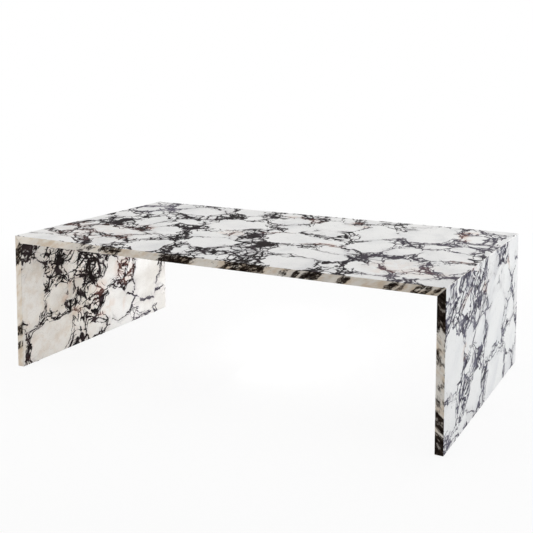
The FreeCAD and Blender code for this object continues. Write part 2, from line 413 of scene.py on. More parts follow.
def ellipse_nearness(tree, place, across, along, reach, width, turn):
    """A spherical Gradient, which falls from 1 in the middle of an ellipse to 0 at its rim."""
    node = tree.nodes.new("ShaderNodeTexGradient")
    node.gradient_type = "SPHERICAL"
    node.texture_mapping.vector_type = "TEXTURE"
    node.texture_mapping.translation = (across * MM, along * MM, 0)
    node.texture_mapping.rotation = (0, 0, math.radians(turn))
    node.texture_mapping.scale = (reach * MM, width * MM, 1)
    wire(tree, place, node.inputs["Vector"])
    return node.outputs["Fac"]


def clast_group(name, clasts):
    """How far the nearest clast is, below 0 inside it, and the next nearest, both in metres."""
    group, given, results = new_group(name, {"Place": VECTOR}, {"Nearest": VALUE, "Next": VALUE})
    nearest = 1.0
    following = 1.0
    for across, along, reach, width, turn in clasts:
        rim = math.sqrt(reach * width) * MM
        nearness = ellipse_nearness(
            group, given["Place"], across, along, SIGHT * reach, SIGHT * width, turn)
        distance = scaled(group, nearness, -SIGHT * rim, (SIGHT - 1) * rim)
        outdone = maths(group, "MAXIMUM", nearest, distance)
        following = maths(group, "MINIMUM", following, outdone)
        nearest = maths(group, "MINIMUM", nearest, distance)
    wire(group, nearest, results["Nearest"])
    wire(group, following, results["Next"])
    print(name, "places", len(clasts), "clasts")
    return group


def patch_group(name, patches):
    """A mask that is strongest in the middle of each patch and fades to its rim."""
    group, given, results = new_group(name, {"Place": VECTOR}, {"Mask": VALUE})
    mask = 0.0
    for across, along, reach, width, turn, strength in patches:
        nearness = ellipse_nearness(group, given["Place"], across, along, reach, width, turn)
        patch = step(group, nearness, 0.0, PATCH_RIM)
        mask = maths(group, "MAXIMUM", mask, times(group, patch, strength))
    wire(group, mask, results["Mask"])
    return group


# %% [markdown]
# Breaking the stone
#
# The three slabs share the same way of breaking up, so that part is one set of groups. The first bends the
# coordinates with noise and shifts them along small faults, because broken stone has no smooth outlines.
# It also lets the veins run through the slab at a slant, so that they show as streaks on the sawn edges.

# %% Places in the stone
RUFFLE = 60 * MM
RUFFLE_LUMPS = 11
FAULT = 26 * MM
FAULT_CELLS = 17
CHIP_RUFFLE = 26 * MM
CHIP_LUMPS = 24
STREAK = 0.35
CENTRED = (0.5, 0.5, 0.5)
IN_PLANE = (1, 1, 0)


def pushed(tree, place, direction, shift):
    """The place, moved by a colour that is read as a direction."""
    push = vectors(tree, "SUBTRACT", direction, CENTRED)
    return vectors(tree, "MULTIPLY_ADD", push, (shift, shift, shift), place)


def slab_place_group():
    """Ruffled and faulted places in the slab's plane, which dip through its thickness."""
    group, given, results = new_group(
        "slab_place",
        {"Across": VALUE, "Along": VALUE, "Depth": VALUE, "Dip": VALUE, "Block": VALUE},
        {"Clasts": VECTOR, "Chips": VECTOR, "Plain": VECTOR, "Streaks": VECTOR},
    )
    solid = group.nodes.new("ShaderNodeCombineXYZ")
    for axis, side in (("X", "Across"), ("Y", "Along")):
        slipped = scaled(group, given["Depth"], given["Dip"], given[side])
        wire(group, slipped, solid.inputs[axis])
    wire(group, scaled(group, given["Depth"], STREAK, given["Block"]), solid.inputs["Z"])
    place = solid.outputs[0]
    bend = cloud(group, place, RUFFLE_LUMPS, detail=5, roughness=0.62, output="Color")
    ruffled = pushed(group, place, bend, RUFFLE)
    fault = group.nodes.new("ShaderNodeTexVoronoi")
    fault.inputs["Scale"].default_value = FAULT_CELLS
    wire(group, ruffled, fault.inputs["Vector"])
    faulted = pushed(group, ruffled, fault.outputs["Color"], FAULT)
    chip_bend = cloud(group, place, CHIP_LUMPS, roughness=0.55, output="Color")
    chipped = pushed(group, place, chip_bend, CHIP_RUFFLE)
    wire(group, vectors(group, "MULTIPLY", faulted, IN_PLANE), results["Clasts"])
    wire(group, chipped, results["Chips"])
    wire(group, vectors(group, "MULTIPLY", place, IN_PLANE), results["Plain"])
    wire(group, place, results["Streaks"])
    return group


slab_place = slab_place_group()

# %% [markdown]
# Veins
#
# A vein is seldom one line. Where two clasts touch it runs as a thread in their contact; where they have
# ground against each other it splits into strands that part and join again, with splinters between them,
# and in the most broken places it swells into dark knots. All of that is worked out from the difference
# between the two distances, which is 0 in the contact and grows away from it on both sides.

# %% Strands
STRAND = 1.5 * MM
STRAND_SWELL = 5 * MM
STRAND_DARK = 3 * MM
STRAND_BLUR = 0.2 * MM
WIDEST_SHARE = 0.14
WANDER = 0.8
WANDER_LUMPS = 30
FOLD = 0.5
STRANDS_END = (1.12, 1.06)


def strand_mask(group, given, swell, split, share, free):
    """Strands at the contact and at both margins of a split vein."""
    wander = scaled(group, cloud(group, given["Chips"], WANDER_LUMPS), WANDER, -WANDER / 2)
    ply = maths(group, "PINGPONG", maths(group, "ADD", share, wander), FOLD)
    ply = times(group, ply, split)
    width = scaled(group, swell, STRAND_SWELL, STRAND)
    width = scaled(group, given["Dark"], STRAND_DARK, width)
    widest = scaled(group, split, WIDEST_SHARE, STRAND)
    width = times(group, maths(group, "MINIMUM", width, widest), given["Weight"])
    strands = line_mask(group, ply, times(group, width, free), STRAND_BLUR)
    return times(group, strands, step(group, share, *STRANDS_END))


# %% Splinters
GROWTH = 16 * MM
GROWTH_BLUR = 3 * MM
DARK_SHRINK = 18 * MM
SPLINTERS_END = (1.08, 1.02)
BIG_CHIPS = 34
BIG_CRACK = (0.02, 0.055, 0.03)
SMALL_CHIPS = 74
SMALL_CRACK = (-0.035, 0.09, 0.085)
CRACK_BLUR = 0.004


def crack_width(group, swell, dark, least, by_swell, by_dark):
    """Half the width of a crack, in cells, which swells and dark zones add to."""
    return scaled(group, dark, by_dark, scaled(group, swell, by_swell, least))


def splinter_mask(group, given, swell, share, free):
    """Cracks of two sizes around the splinters inside a split vein and where no clast reaches."""
    chips, dark = given["Chips"], given["Dark"]
    shrunk = scaled(group, dark, DARK_SHRINK, given["Nearest"])
    unfilled = step(group, shrunk, GROWTH, GROWTH + GROWTH_BLUR)
    inside = times(group, step(group, share, *SPLINTERS_END), free)
    broken = maths(group, "MAXIMUM", unfilled, inside)
    coarse = times(group, crack_width(group, swell, dark, *BIG_CRACK), given["Weight"])
    coarse = times(group, coarse, broken)
    big = line_mask(group, cracks(group, chips, BIG_CHIPS), coarse, CRACK_BLUR)
    fine = maths(group, "MAXIMUM", crack_width(group, swell, dark, *SMALL_CRACK), 0.0)
    fine = times(group, fine, broken)
    small = line_mask(group, cracks(group, chips, SMALL_CHIPS), fine, CRACK_BLUR)
    return maths(group, "MAXIMUM", big, small)


# %% Hairlines
HAIR_REACH = 50 * MM
HAIR_LUMPS = (12, 0.36, 0.60)
HAIR_CELLS = 34
HAIR_WIDTH = 0.05
HAIR_BLUR = 0.014
HALO = 0.35


def hair_mask(group, given, contact):
    """Hairlines and a grey breath that fade from the contacts into the clasts."""
    near = step(group, contact, HAIR_REACH, 0.0)
    shown = times(group, near, lump_mask(group, given["Chips"], *HAIR_LUMPS))
    lines = line_mask(group, cracks(group, given["Chips"], HAIR_CELLS), HAIR_WIDTH, HAIR_BLUR)
    return times(group, maths(group, "MAXIMUM", lines, HALO), shown)


# %% The vein group
THREAD = 3 * MM
SPLIT = 46 * MM
DARK_SPLIT = 50 * MM
BARED = -6 * MM
SWELL_LUMPS = (16, 0.38, 0.66)
SPLIT_LUMPS = (7, 0.40, 0.66)
KNOT_LUMPS = 40
KNOT_STEP = (1.54, 1.72)
SOLID_LUMPS = (42, 0.59, 0.49)


def knot_mask(group, given, free):
    """Solid dark lumps where the stone is most broken."""
    knot = maths(group, "ADD", cloud(group, given["Chips"], KNOT_LUMPS), given["Dark"])
    knot = step(group, knot, *KNOT_STEP)
    solid = lump_mask(group, given["Chips"], *SOLID_LUMPS, detail=4)
    return times(group, times(group, knot, solid), free)


def vein_group():
    """Masks of the veins, from threads to knots, and of the hairlines."""
    group, given, results = new_group(
        "broken_veins",
        {
            "Chips": VECTOR, "Nearest": VALUE, "Next": VALUE, "Dark": VALUE,
            "Breakage": VALUE, "Weight": VALUE, "Bite": VALUE,
        },
        {"Vein": VALUE, "Hair": VALUE},
    )
    swell = lump_mask(group, given["Chips"], *SWELL_LUMPS)
    buried = times(group, given["Bite"], -1.0)
    free = step(group, given["Nearest"], buried, BARED)
    split = lump_mask(group, given["Chips"], *SPLIT_LUMPS)
    split = times(group, split, given["Breakage"])
    split = scaled(group, split, SPLIT, THREAD)
    split = scaled(group, given["Dark"], DARK_SPLIT, split)
    contact = maths(group, "SUBTRACT", given["Next"], given["Nearest"])
    share = maths(group, "DIVIDE", contact, split)
    strands = strand_mask(group, given, swell, split, share, free)
    splinters = splinter_mask(group, given, swell, share, free)
    vein = maths(group, "MAXIMUM", strands, splinters)
    vein = maths(group, "MAXIMUM", vein, knot_mask(group, given, free))
    wire(group, vein, results["Vein"])
    wire(group, hair_mask(group, given, contact), results["Hair"])
    return group


broken_veins = vein_group()

# %% The veins on a sawn edge
BLOTCH_LUMPS = 55
BLOTCH_DEPTH = (1, 1, 3)
BLOTCH_WEIGHT = 1.6
BLOTCH_LEVEL = -1.3
HATCH_LUMPS = 120
BAND_STEP = (0.30, 0.62)
LIGHT_STEP = (0.57, 0.66)
LIGHT_LOSS = -0.3
FAINT = 0.05


def sawn_vein_group():
    """Veins as a saw cuts them: ragged, blotched bands, and else only faint lines."""
    group, given, results = new_group(
        "sawn_veins",
        {"Streaks": VECTOR, "Vein": VALUE, "Hair": VALUE, "Edge": VALUE, "Sawn": VALUE},
        {"Vein": VALUE, "Hair": VALUE},
    )
    deepened = vectors(group, "MULTIPLY", given["Streaks"], BLOTCH_DEPTH)
    blotch = cloud(group, deepened, BLOTCH_LUMPS, detail=4, roughness=0.65)
    blotch = scaled(group, blotch, BLOTCH_WEIGHT, BLOTCH_LEVEL)
    hatch = cloud(group, given["Streaks"], HATCH_LUMPS)
    ragged = maths(group, "ADD", blotch, hatch)
    band = step(group, maths(group, "ADD", ragged, given["Edge"]), *BAND_STEP)
    light_streak = step(group, hatch, *LIGHT_STEP)
    band = times(group, band, scaled(group, light_streak, LIGHT_LOSS, 1.0))
    shown = maths(group, "MAXIMUM", band, times(group, given["Vein"], FAINT))
    change = maths(group, "SUBTRACT", shown, given["Vein"])
    wire(group, scaled(group, change, given["Sawn"], given["Vein"]), results["Vein"])
    honed = maths(group, "SUBTRACT", 1.0, given["Sawn"])
    wire(group, times(group, given["Hair"], honed), results["Hair"])
    return group


sawn_veins = sawn_vein_group()

# %% [markdown]
# Colour and polish
#
# The white is calcite with faint grey clouds and hairlines. The veins are coloured by iron and manganese:
# almost black in their cores, violet where they thin out, rusty where water has stained them. Polish
# follows the same map, because the softer vein filling takes a duller finish and wears a hair deeper.
# The sawn front and back faces get a cream-to-tan painted shade, and their veins are darker and browner
# there, which is partly painted shade.

# %% The colour of the ground
CLOUD_LUMPS = (9, 0.42, 0.72)
HAIRLINE = (0.40, 0.375, 0.39, 1)
RUSSET = (0.42, 0.27, 0.22, 1)
HAIR_SHARE = 0.75
OCHRE = (0.66, 0.47, 0.36, 1)
OCHRE_SHARE = 0.35


def ground_colour(group, given, rusty):
    """White with grey clouds and hairlines, and a breath of ochre in the rusty places."""
    clouded = lump_mask(group, given["Chips"], *CLOUD_LUMPS, detail=4)
    ground = blend(group, clouded, given["Ground"], given["Cloud"])
    hairline = blend(group, rusty, HAIRLINE, RUSSET)
    ground = blend(group, times(group, given["Hair"], HAIR_SHARE), ground, hairline)
    return blend(group, times(group, rusty, OCHRE_SHARE), ground, OCHRE)


# %% The colour of the veins
TONE_LUMPS = (24, 0.42, 0.70)
FLECK_LUMPS = (110, 0.46, 0.64)
VEIN_GREY = (0.13, 0.118, 0.15, 1)
RUST = (0.13, 0.055, 0.045, 1)
INK = (0.008, 0.005, 0.004, 1)
INKY_STEP = (0.8, 1.1)
INK_SHARE = 0.7
STREAK_LUMPS = (HATCH_LUMPS, 0.40, 0.64)
BROWN = (0.052, 0.042, 0.037, 1)


def filling_colour(group, given, rusty):
    """Dark to violet filling; where it is sawn it is black with brown streaks, partly a painted shade."""
    tone = lump_mask(group, given["Chips"], *TONE_LUMPS)
    tone = maths(group, "MAXIMUM", tone, lump_mask(group, given["Chips"], *FLECK_LUMPS))
    filling = blend(group, tone, given["Core"], given["Margin"])
    filling = blend(group, given["Pale"], filling, VEIN_GREY)
    filling = blend(group, rusty, filling, RUST)
    inky = times(group, step(group, given["Dark"], *INKY_STEP), INK_SHARE)
    filling = blend(group, inky, filling, INK)
    streak = lump_mask(group, given["Streaks"], *STREAK_LUMPS)
    return blend(group, given["Sawn"], filling, blend(group, streak, INK, BROWN))


# %% The colour group
SPECK_LUMPS = (38, 0.36, 0.58)
# TAN_LUMPS, CREAM and TAN make a cream-to-tan painted shade for the sawn faces and the painted shade
# patches.
TAN_LUMPS = (26, 0.42, 0.68)
CREAM = (1, 0.95, 0.88, 1)
TAN = (0.83, 0.69, 0.54, 1)


def stone_colour_group():
    """The colour of the stone from its vein mask and its patches, with a cream-to-tan painted shade."""
    group, given, results = new_group(
        "stone_colour",
        {
            "Chips": VECTOR, "Streaks": VECTOR, "Vein": VALUE, "Hair": VALUE, "Dark": VALUE, "Pale": VALUE,
            "Stain": VALUE, "Warm": VALUE, "Sawn": VALUE,
            "Ground": COLOUR, "Cloud": COLOUR, "Core": COLOUR, "Margin": COLOUR,
        },
        {"Color": COLOUR},
    )
    speck = lump_mask(group, given["Chips"], *SPECK_LUMPS, detail=2)
    rusty = times(group, given["Stain"], speck)
    ground = ground_colour(group, given, rusty)
    colour = blend(group, given["Vein"], ground, filling_colour(group, given, rusty))
    # A cream-to-tan painted shade, multiplied in by its share.
    deeper_painted_shade = lump_mask(group, given["Streaks"], *TAN_LUMPS, detail=4, roughness=0.65)
    painted_shade_colour = blend(group, deeper_painted_shade, CREAM, TAN)
    wire(group, blend(group, given["Warm"], colour, painted_shade_colour, "MULTIPLY"), results["Color"])
    return group


stone_colour = stone_colour_group()

# %% The polish group
POLISH = 0.50
POLISH_SPREAD = 0.10
POLISH_LUMPS = 32
VEIN_DULLNESS = 0.06
STONE_GRAIN = 380
GRAIN_HEIGHT = 0.5
VEIN_HEIGHT = -0.5


def polish_group():
    """Roughness and relief of a honed face."""
    group, given, results = new_group(
        "honed_polish", {"Chips": VECTOR, "Vein": VALUE}, {"Roughness": VALUE, "Height": VALUE})
    worn = scaled(group, cloud(group, given["Chips"], POLISH_LUMPS), POLISH_SPREAD, POLISH)
    wire(group, scaled(group, given["Vein"], VEIN_DULLNESS, worn), results["Roughness"])
    grain = times(group, cloud(group, given["Chips"], STONE_GRAIN, detail=2), GRAIN_HEIGHT)
    wire(group, scaled(group, given["Vein"], VEIN_HEIGHT, grain), results["Height"])
    return group


honed_polish = polish_group()

# %% [markdown]
# Where the clasts lie
#
# These lists are read off the slabs, in millimetres: across, along, half the length, half the width
# and the turn in degrees. On the top, across is along the table and along is from its front to its back.
# On a leg, across is from front to back and along is up. A patch has a strength as well.
# The patches called edge are the dark bands on the sawn front and back edges.

# %% The layout of the top
FRONT_ROW = -330
BACK_ROW = 340
BAND_REACH = 40


def edge_bands(row, bands):
    """Patches along a long edge, each with a place, half a width and a strength."""
    return [(across, row, half_width, BAND_REACH, 0, strength) for across, half_width, strength in bands]


TOP_LAYOUT = {
    "clasts": [
        (400, 225, 125, 78, 95), (350, 300, 60, 40, 0), (262, 165, 98, 54, 98), (205, 320, 35, 22, 0),
        (520, 205, 38, 20, 100), (592, 205, 42, 16, 90), (558, 322, 42, 20, 0), (480, 275, 22, 14, 95),
        (545, 112, 26, 18, 0), (470, 52, 34, 20, 15), (542, 60, 30, 28, 90), (592, 30, 40, 16, 90),
        (310, -8, 62, 50, 75), (515, -62, 72, 54, 10), (400, -50, 42, 26, 100), (545, -158, 62, 42, 0),
        (450, -188, 60, 58, 100), (385, -248, 54, 46, 120), (312, -266, 24, 20, 90), (332, -322, 24, 18, 0),
        (412, -322, 42, 20, 0), (505, -290, 50, 32, 105), (562, -315, 38, 22, 0), (-22, 200, 80, 58, 75),
        (108, 165, 95, 68, 100), (130, 100, 70, 50, -30), (30, 120, 70, 50, -20), (112, -18, 92, 56, -8),
        (-128, 82, 86, 58, 5), (-78, -140, 80, 66, 80), (-120, -75, 70, 40, 0), (205, -168, 92, 44, -5),
        (225, -98, 46, 16, -15), (195, -282, 60, 52, 0), (-165, 214, 22, 16, 100), (-215, 298, 48, 38, 100),
        (-60, 285, 30, 18, -30), (-15, -215, 32, 24, -20), (18, -262, 26, 12, 25), (2, -308, 42, 26, -10),
        (-95, -285, 20, 14, -50), (60, 305, 26, 16, -30), (15, 310, 20, 16, -40), (120, 300, 22, 14, -50),
        (-15, 55, 40, 16, 100), (-352, 225, 82, 56, -15), (-300, 262, 45, 22, 110), (-392, 15, 78, 34, 105),
        (-350, -25, 36, 26, 100), (-415, -152, 86, 44, 5), (-275, -92, 60, 34, -20),
        (-282, -195, 30, 28, 90), (-215, -272, 76, 46, 110), (-505, -312, 98, 30, 0),
        (-575, -255, 30, 30, 0), (-540, 90, 46, 30, -10), (-578, -15, 42, 28, 90),
        (-542, -62, 42, 22, 110), (-560, -200, 46, 30, -10), (-490, -212, 34, 26, -30),
        (-355, -275, 30, 26, 90), (-420, -208, 24, 20, 0), (-540, 210, 50, 40, 110),
        (-480, 160, 50, 24, 110), (-465, 285, 36, 30, 0), (-560, 275, 34, 28, 0), (-290, 60, 24, 22, 90),
    ],
    "dark": [
        (60, -118, 66, 46, -50, 1.08), (95, -255, 80, 42, 95, 1.0), (95, -320, 60, 34, 0, 1.1),
        (-140, -285, 80, 40, -60, 0.95), (-75, -325, 40, 20, 0, 0.9), (-215, 225, 72, 38, -55, 1.05),
        (-130, 272, 45, 34, 100, 0.7), (-265, 5, 66, 48, -35, 0.9), (-365, -100, 60, 24, -15, 0.9),
        (-450, 0, 115, 36, -62, 0.75), (-510, -40, 100, 28, -65, 0.75), (-300, -240, 80, 30, -60, 0.75),
        (-200, -130, 95, 30, -60, 0.75), (325, -135, 54, 34, 80, 0.72), (390, -120, 44, 32, -20, 0.72),
        (400, 35, 44, 34, -50, 0.6), (180, 25, 50, 18, 0, 0.6), (-65, 120, 60, 16, -50, 0.7),
        (275, -320, 20, 30, 0, 0.8), (-300, -345, 60, 20, 0, 0.6), (-80, -340, 56, 26, 0, 0.85),
        (118, -340, 76, 28, 0, 0.95), (290, -346, 30, 18, 0, 0.7), (368, -346, 20, 16, 0, 0.6),
        (545, -346, 30, 16, 0, 0.6), (588, -346, 22, 20, 0, 0.6), (-520, 200, 130, 150, 0, 0.35),
        (548, 215, 52, 130, 0, 0.5), (480, -330, 90, 40, 0, 0.35), (500, 92, 115, 40, 4, 0.55),
    ],
    "pale": [
        (-520, 240, 130, 130, 0, 0.8), (430, 20, 200, 400, 0, 0.35), (490, -220, 170, 170, 0, 0.65),
        (530, 140, 150, 270, 0, 0.6),
    ],
    "stain": [
        (165, 250, 60, 30, -75, 0.8), (490, 230, 90, 22, -85, 0.9), (195, -62, 70, 22, 10, 0.9),
        (-105, -30, 60, 30, -30, 0.8), (20, 245, 50, 30, -40, 0.6), (-60, 280, 40, 30, 0, 0.7),
        (-345, -70, 60, 30, -40, 0.7), (-330, -200, 80, 40, -60, 0.6), (560, -95, 50, 30, 20, 0.8),
        (430, -260, 50, 25, 0, 0.7), (-560, -110, 60, 60, 0, 0.5), (10, 30, 60, 20, 30, 0.6),
        (-430, -190, 190, 150, 0, 0.4), (460, -215, 140, 90, 0, 0.5),
    ],
    "painted_shade": [],
    "edge": edge_bands(FRONT_ROW, [
        (-346, 36, 0.42), (-270, 62, 0.48), (-66, 74, 0.85), (124, 92, 0.68), (230, 16, 0.5),
        (261, 13, 0.54), (301, 36, 0.74), (379, 19, 0.55), (498, 30, 0.53), (550, 15, 0.7),
        (569, 13, 0.65), (588, 11, 0.6),
    ]) + edge_bands(BACK_ROW, [
        (-440, 60, 0.8), (-190, 50, 0.9), (60, 60, 0.7), (300, 36, 0.8), (500, 70, 0.9),
    ]),
}

# %% The layout of the right leg
RIGHT_LAYOUT = {
    "clasts": [
        (100, 205, 118, 78, 18), (70, 290, 80, 60, 0), (60, 330, 70, 48, 0), (190, 270, 60, 50, 20),
        (280, 325, 75, 40, 0), (-290, 182, 88, 68, 0), (-152, 212, 36, 26, 60), (-60, 188, 58, 32, 12),
        (-165, 280, 38, 22, 20), (-90, 262, 20, 14, 0), (-88, 60, 62, 36, 10), (105, 48, 98, 46, 0),
        (-288, 76, 54, 28, 0), (-205, 88, 24, 16, 20), (-190, 20, 80, 14, 0), (245, 182, 46, 30, 15),
        (275, 92, 56, 46, 0), (322, 245, 60, 24, 90), (235, 32, 40, 28, 0), (325, 40, 36, 24, 90),
        (-250, 345, 26, 14, 0), (-200, 325, 30, 13, 15), (-120, 346, 30, 10, 0), (-30, 322, 28, 16, 90),
        (-92, 292, 20, 16, 0), (-10, 268, 18, 14, 0), (-320, 345, 18, 16, 0), (-150, 150, 35, 14, 10),
    ],
    "dark": [
        (-170, 300, 220, 95, 0, 0.55), (-45, 290, 60, 70, 0, 0.7), (-60, 345, 60, 20, 0, 0.6),
        (-175, 105, 45, 38, 0, 0.8), (-15, 72, 55, 34, 90, 0.9), (-60, 118, 75, 20, -15, 0.8),
        (210, 140, 45, 22, 10, 0.5), (250, 225, 70, 22, 55, 0.6), (-310, 308, 50, 16, 0, 0.5),
        (-300, 28, 60, 16, 8, 0.6), (190, 305, 40, 16, 30, 0.5), (-190, 180, 20, 20, 0, 0.6),
    ],
    "pale": [(-300, 28, 80, 30, 8, 0.5)],
    "stain": [
        (-110, 350, 60, 14, 0, 0.8), (-15, 300, 26, 20, -30, 0.9), (-190, 190, 40, 20, 0, 0.7),
        (230, 305, 40, 16, 0, 0.8), (-180, 300, 60, 16, 20, 0.5),
    ],
    "painted_shade": [],
    # The weak, tall patch in the middle of the front edge mottles it with brown specks, partly a painted
    # shade.
    "edge": [
        (-348, 330, 60, 88, 0, 1.3), (-348, 180, 80, 170, 0, 0.38), (-348, 66, 60, 26, 0, 0.95),
        (-348, 8, 60, 44, 0, 1.1), (348, 270, 60, 50, 0, 0.8), (348, 90, 60, 40, 0, 0.8),
    ],
}

# %% The layout of the left leg
LEFT_LAYOUT = {
    "clasts": [
        (-218, 52, 104, 48, 0), (-296, 205, 105, 48, 84), (-262, 305, 34, 28, 0), (-195, 160, 46, 38, 70),
        (-150, 160, 30, 26, 0), (-148, 242, 36, 24, 95), (-100, 226, 25, 18, 100), (-240, 248, 32, 14, 95),
        (-92, 168, 36, 16, -45), (-88, 132, 22, 18, 0), (-20, 216, 24, 18, -30), (-45, 138, 16, 14, 0),
        (-32, 114, 26, 14, 0), (-45, 85, 22, 18, 0), (70, 78, 78, 50, 8), (45, 178, 36, 30, 60),
        (78, 226, 22, 16, 20), (118, 160, 18, 14, 0), (122, 186, 12, 12, 0), (80, 132, 18, 14, 0),
        (128, 108, 38, 26, 10), (225, 135, 74, 62, 0), (-45, 32, 48, 26, 0), (60, 12, 55, 12, 0),
        (-104, 40, 40, 18, 80), (-358, 50, 70, 26, 78), (315, 105, 36, 20, 90), (225, 52, 40, 16, 0),
        (318, 30, 26, 24, 0), (200, 240, 40, 30, 0), (290, 250, 50, 40, 0), (140, 290, 40, 30, 0),
        (40, 290, 40, 25, 0), (-60, 310, 45, 25, 0), (250, 320, 50, 25, 0), (-150, 325, 40, 18, 0),
    ],
    "dark": [
        (-190, 268, 80, 50, 0, 1.15), (-252, 220, 42, 40, 0, 1.2), (-60, 240, 104, 74, -10, 1.1),
        (-50, 190, 50, 36, 0, 1.15), (-325, 55, 20, 60, 10, 0.15), (-80, 140, 26, 44, 0, 0.55),
        (-40, 105, 24, 40, 0, 0.4), (2, 135, 24, 30, 0, 0.7), (-140, 128, 44, 18, 0, 0.45),
        (-318, 310, 36, 44, 0, 0.5), (100, 200, 20, 32, 0, 0.7), (-320, 120, 36, 12, 20, 0.45),
        (30, 180, 30, 40, 0, 0.5), (-215, 140, 16, 50, 15, 0.6), (290, 130, 40, 50, 0, 0.25),
    ],
    "pale": [(240, 60, 130, 120, 0, 0.5)],
    "stain": [
        (-160, 165, 36, 26, 30, 0.9), (2, 145, 34, 36, 0, 0.8), (-125, 102, 36, 30, 0, 0.8),
        (105, 185, 60, 60, 0, 0.7), (-95, 300, 50, 20, 0, 0.6), (10, 76, 50, 20, 0, 0.8),
        (115, 70, 16, 30, 0, 0.7), (-320, 14, 30, 14, 0, 0.3),
    ],
    # One broad patch paints a cream-to-tan shade over the front part of the inner face.
    "painted_shade": [(-260, 150, 380, 340, 0, 0.5)],
    "edge": [
        (-348, 320, 60, 44, 0, 0.7), (-348, 112, 60, 26, 0, 0.65), (-348, 72, 60, 20, 0, 0.55),
        (348, 230, 60, 50, 0, 0.8), (348, 60, 60, 40, 0, 0.8),
    ],
}

# %% [markdown]
# One marble for each slab
#
# Each slab gets a material of its own that puts the shared groups together with its own layout, shades and
# habit. The top is a neutral white, the right leg has bluer veins and the left leg is creamier. The habit
# is how the stone broke. Dip slips a vein sideways on its way through the slab, and block picks a part of
# the noise for this slab alone. A stretch below 1 draws the chips out along the lean, in degrees. Breakage
# says how far a vein splits, weight how thick its strands are and bite how deep they cut into a clast.

# %% From the slab to its pattern
SAWN_STEP = (0.5, 0.9)


def pattern_places(tree, coordinates, axes, face, habit):
    """Places of a pattern in the plane of two axes, which dips along the third."""
    sides = tree.nodes.new("ShaderNodeSeparateXYZ")
    wire(tree, coordinates["Object"], sides.inputs[0])
    across, along, through = (sides.outputs[axis] for axis in axes)
    depth = maths(tree, "SUBTRACT", through, face)
    return place_group(
        tree, slab_place, Across=across, Along=along, Depth=depth, Dip=habit["dip"], Block=habit["block"])


def drawn_out(tree, place, lean, stretch):
    """Turned and stretched places, which make the chips longest along the lean."""
    turned = tree.nodes.new("ShaderNodeVectorRotate")
    turned.rotation_type = "Z_AXIS"
    turned.inputs["Angle"].default_value = math.radians(-lean)
    wire(tree, place, turned.inputs["Vector"])
    return vectors(tree, "MULTIPLY", turned.outputs[0], stretch)


def sawn_mask(tree, coordinates):
    """1 on the sawn front and back edges, and 0 on the honed faces."""
    facing = tree.nodes.new("ShaderNodeSeparateXYZ")
    wire(tree, coordinates["Normal"], facing.inputs[0])
    return step(tree, maths(tree, "ABSOLUTE", facing.outputs["Y"]), *SAWN_STEP)


# %% The marble of a slab
SHEEN = 0.02
RELIEF_DEPTH = 0.06 * MM


def marble(name, layout, shades, axes, face, **habit):
    """A honed marble from the layout, the shades and the habit of one slab."""
    material, tree, shader, coordinates = new_material(name)
    spot = pattern_places(tree, coordinates, axes, face, habit)
    chips = drawn_out(tree, spot["Chips"], habit["lean"], habit["stretch"])
    lumps = place_group(tree, clast_group(name + "_clasts", layout["clasts"]), Place=spot["Clasts"])
    dark, pale, stain, painted_shade = (
        place_group(tree, patch_group(name + "_" + kind, layout[kind]), Place=spot["Clasts"])["Mask"]
        for kind in ("dark", "pale", "stain", "painted_shade")
    )
    lines = place_group(
        tree, broken_veins, Chips=chips, Nearest=lumps["Nearest"], Next=lumps["Next"], Dark=dark,
        Breakage=habit["breakage"], Weight=habit["weight"], Bite=habit["bite"],
    )
    sawn = sawn_mask(tree, coordinates)
    edge = place_group(tree, patch_group(name + "_edge", layout["edge"]), Place=spot["Plain"])["Mask"]
    cut = place_group(
        tree, sawn_veins, Streaks=spot["Streaks"], Vein=lines["Vein"], Hair=lines["Hair"],
        Edge=edge, Sawn=sawn,
    )
    vein = cut["Vein"]
    # The sawn faces and the painted shade patches take a cream-to-tan painted shade.
    paint = place_group(
        tree, stone_colour, Chips=chips, Streaks=spot["Streaks"], Vein=vein, Hair=cut["Hair"], Dark=dark,
        Pale=pale, Stain=stain, Warm=maths(tree, "MAXIMUM", painted_shade, sawn), Sawn=sawn, **shades,
    )
    polish = place_group(tree, honed_polish, Chips=chips, Vein=vein)
    wire(tree, paint["Color"], shader["Base Color"])
    wire(tree, polish["Roughness"], shader["Roughness"])
    relief(tree, polish["Height"], RELIEF_DEPTH, shader["Normal"])
    shader["Specular IOR Level"].default_value = SHEEN
    return material


# %% The shades of each slab
TOP_SHADES = {
    "Ground": (0.84, 0.835, 0.825, 1),
    "Cloud": (0.72, 0.72, 0.72, 1),
    "Core": (0.004, 0.003, 0.003, 1),
    "Margin": (0.028, 0.020, 0.024, 1),
}
RIGHT_SHADES = {
    "Ground": (0.85, 0.85, 0.843, 1),
    "Cloud": (0.745, 0.75, 0.76, 1),
    "Core": (0.035, 0.030, 0.045, 1),
    "Margin": (0.165, 0.16, 0.205, 1),
}
LEFT_SHADES = {
    "Ground": (0.84, 0.83, 0.815, 1),
    "Cloud": (0.66, 0.635, 0.60, 1),
    "Core": (0.008, 0.006, 0.007, 1),
    "Margin": (0.040, 0.028, 0.032, 1),
}

# %% The habit of each slab, and its dress
def dress(piece, material):
    """Gives a piece its one material."""
    piece.data.materials.clear()
    piece.data.materials.append(material)
    print(piece.name, "is dressed in", material.name)


